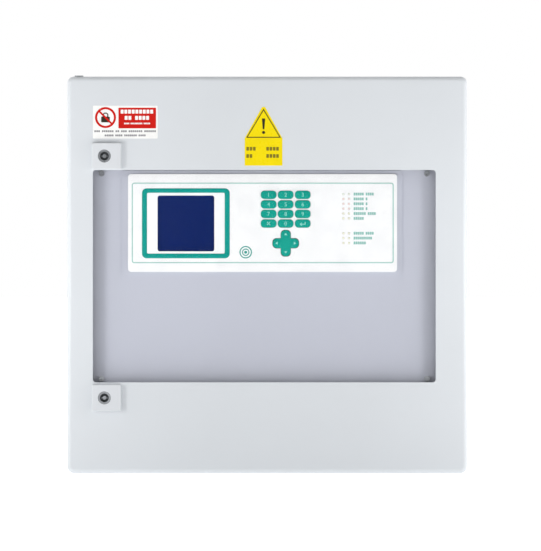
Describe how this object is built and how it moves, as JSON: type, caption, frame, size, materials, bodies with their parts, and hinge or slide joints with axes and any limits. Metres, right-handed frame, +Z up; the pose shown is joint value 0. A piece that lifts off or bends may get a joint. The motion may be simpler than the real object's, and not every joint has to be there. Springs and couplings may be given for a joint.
{
  "type": "fire alarm control panel",
  "caption": "Wall cabinet with a windowed, locked door over an inner panel that carries a control module with screen, keypad, four-way pad and status lights.",
  "frame": {"origin": "middle of the cabinet's back face, in the plane of the wall", "axes": "+Y into the wall, +Z up; the door faces -Y"},
  "size_m": [0.5, 0.217, 0.4973],
  "materials": {
    "cabinet_paint": "light grey powder coat, fine orange peel",
    "door_paint": "light grey powder coat, fine orange peel",
    "boss_paint": "light grey painted die-cast zinc",
    "panel_paint": "blue-grey powder coat, satin",
    "zinc_plate": "galvanised sheet steel",
    "screw_steel": "zinc-plated steel",
    "lock_metal": "dark nickel-plated zinc die-cast",
    "aluminium_case": "folded perforated aluminium",
    "spacer_brass": "nickel-free brass, machined",
    "black_rubber": "black rubber",
    "gasket_foam": "foamed-in-place polyurethane",
    "mat_rubber": "grey silicone rubber",
    "window_clear": "clear, faintly tinted acrylic",
    "screen_navy": "dark blue liquid-crystal glass",
    "fascia_white": "white polyester overlay, satin",
    "key_teal": "teal moulded keys with pale marks",
    "label_white": "printed vinyl",
    "label_yellow": "printed vinyl",
    "plug_grey": "grey moulded plug",
    "battery_case": "dark grey ABS case",
    "circuit_board": "green solder mask on glass laminate",
    "terminal_green": "green plug-in terminal blocks",
    "terminal_grey": "grey rail terminals",
    "black_plastic": "black moulded plastic",
    "led_red": "red diffused lens",
    "led_yellow": "yellow diffused lens",
    "led_green": "pale yellow-green diffused lens"
  },
  "bodies": {
    "cabinet": {"enclosure_body": "cabinet_paint", "gland_plate": "zinc_plate", "gland_screws": "screw_steel", "cable_grommets": "black_rubber", "mounting_plate": "zinc_plate", "mounting_studs": "screw_steel", "battery_tray": "zinc_plate", "battery_left": "battery_case", "battery_right": "battery_case", "power_supply": "aluminium_case", "main_board": "circuit_board", "board_spacers": "spacer_brass", "board_terminals": "terminal_green", "board_relays": "black_plastic", "din_rail": "zinc_plate", "mains_terminals": "terminal_grey", "fuse_holder": "terminal_grey", "panel_brackets": "zinc_plate", "inner_panel": "panel_paint", "panel_screws": "screw_steel", "module_bezel": "panel_paint", "fascia": "fascia_white", "lcd_glass": "screen_navy", "lcd_frame": "zinc_plate", "keypad_mat": "mat_rubber", "display_board": "circuit_board", "leds_green": "led_green", "leds_red": "led_red", "leds_yellow": "led_yellow", "buzzer": "black_plastic", "hinge_brackets": "cabinet_paint", "hinge_pins": "screw_steel"},
    "door": {"door_panel": "door_paint", "door_gasket": "gasket_foam", "window_pane": "window_clear", "window_seal": "black_rubber", "window_clips": "zinc_plate", "lock_housings": "boss_paint", "hinge_leaves": "cabinet_paint", "edge_plug": "plug_grey", "prohibition_label": "label_white", "voltage_label": "label_yellow"},
    "upper_lock": {"lock_core_upper": "lock_metal", "lock_cam_upper": "zinc_plate"},
    "lower_lock": {"lock_core_lower": "lock_metal", "lock_cam_lower": "zinc_plate"},
    "cursor_ring": {"cursor_pivot": "black_plastic"},
    "cursor_cross": {"cursor_pad": "key_teal"},
    "one_key": {"key_one": "key_teal"},
    "two_key": {"key_two": "key_teal"},
    "three_key": {"key_three": "key_teal"},
    "four_key": {"key_four": "key_teal"},
    "five_key": {"key_five": "key_teal"},
    "six_key": {"key_six": "key_teal"},
    "seven_key": {"key_seven": "key_teal"},
    "eight_key": {"key_eight": "key_teal"},
    "nine_key": {"key_nine": "key_teal"},
    "escape_key": {"key_escape": "key_teal"},
    "zero_key": {"key_zero": "key_teal"},
    "enter_key": {"key_enter": "key_teal"}
  },
  "joints": [
    {"name": "door_swing", "type": "hinge", "parent": "cabinet", "child": "door", "pos_m": [0.243, -0.199, 0], "axis": [0, 0, 1], "range_deg": [0, 120]},
    {"name": "upper_lock_turn", "type": "hinge", "parent": "door", "child": "upper_lock", "pos_m": [-0.203, -0.2, 0.1481], "axis": [0, -1, 0], "range_deg": [0, 90]},
    {"name": "lower_lock_turn", "type": "hinge", "parent": "door", "child": "lower_lock", "pos_m": [-0.203, -0.2, -0.1535], "axis": [0, 1, 0], "range_deg": [0, 90]},
    {"name": "cursor_tilt", "type": "hinge", "parent": "cabinet", "child": "cursor_ring", "pos_m": [0.0233, -0.1924, 0.0396], "axis": [1, 0, 0], "range_deg": [-2, 2], "stiffness_Nm_per_rad": 0.1},
    {"name": "cursor_rock", "type": "hinge", "parent": "cursor_ring", "child": "cursor_cross", "pos_m": [0.0233, -0.1924, 0.0396], "axis": [0, 0, 1], "range_deg": [-2, 2], "stiffness_Nm_per_rad": 0.1},
    {"name": "one_press", "type": "slide", "parent": "cabinet", "child": "one_key", "axis": [0, 1, 0], "range_m": [0, 0.0005], "stiffness_N_per_m": 1500},
    {"name": "two_press", "type": "slide", "parent": "cabinet", "child": "two_key", "axis": [0, 1, 0], "range_m": [0, 0.0005], "stiffness_N_per_m": 1500},
    {"name": "three_press", "type": "slide", "parent": "cabinet", "child": "three_key", "axis": [0, 1, 0], "range_m": [0, 0.0005], "stiffness_N_per_m": 1500},
    {"name": "four_press", "type": "slide", "parent": "cabinet", "child": "four_key", "axis": [0, 1, 0], "range_m": [0, 0.0005], "stiffness_N_per_m": 1500},
    {"name": "five_press", "type": "slide", "parent": "cabinet", "child": "five_key", "axis": [0, 1, 0], "range_m": [0, 0.0005], "stiffness_N_per_m": 1500},
    {"name": "six_press", "type": "slide", "parent": "cabinet", "child": "six_key", "axis": [0, 1, 0], "range_m": [0, 0.0005], "stiffness_N_per_m": 1500},
    {"name": "seven_press", "type": "slide", "parent": "cabinet", "child": "seven_key", "axis": [0, 1, 0], "range_m": [0, 0.0005], "stiffness_N_per_m": 1500},
    {"name": "eight_press", "type": "slide", "parent": "cabinet", "child": "eight_key", "axis": [0, 1, 0], "range_m": [0, 0.0005], "stiffness_N_per_m": 1500},
    {"name": "nine_press", "type": "slide", "parent": "cabinet", "child": "nine_key", "axis": [0, 1, 0], "range_m": [0, 0.0005], "stiffness_N_per_m": 1500},
    {"name": "escape_press", "type": "slide", "parent": "cabinet", "child": "escape_key", "axis": [0, 1, 0], "range_m": [0, 0.0005], "stiffness_N_per_m": 1500},
    {"name": "zero_press", "type": "slide", "parent": "cabinet", "child": "zero_key", "axis": [0, 1, 0], "range_m": [0, 0.0005], "stiffness_N_per_m": 1500},
    {"name": "enter_press", "type": "slide", "parent": "cabinet", "child": "enter_key", "axis": [0, 1, 0], "range_m": [0, 0.0005], "stiffness_N_per_m": 1500}
  ]
}
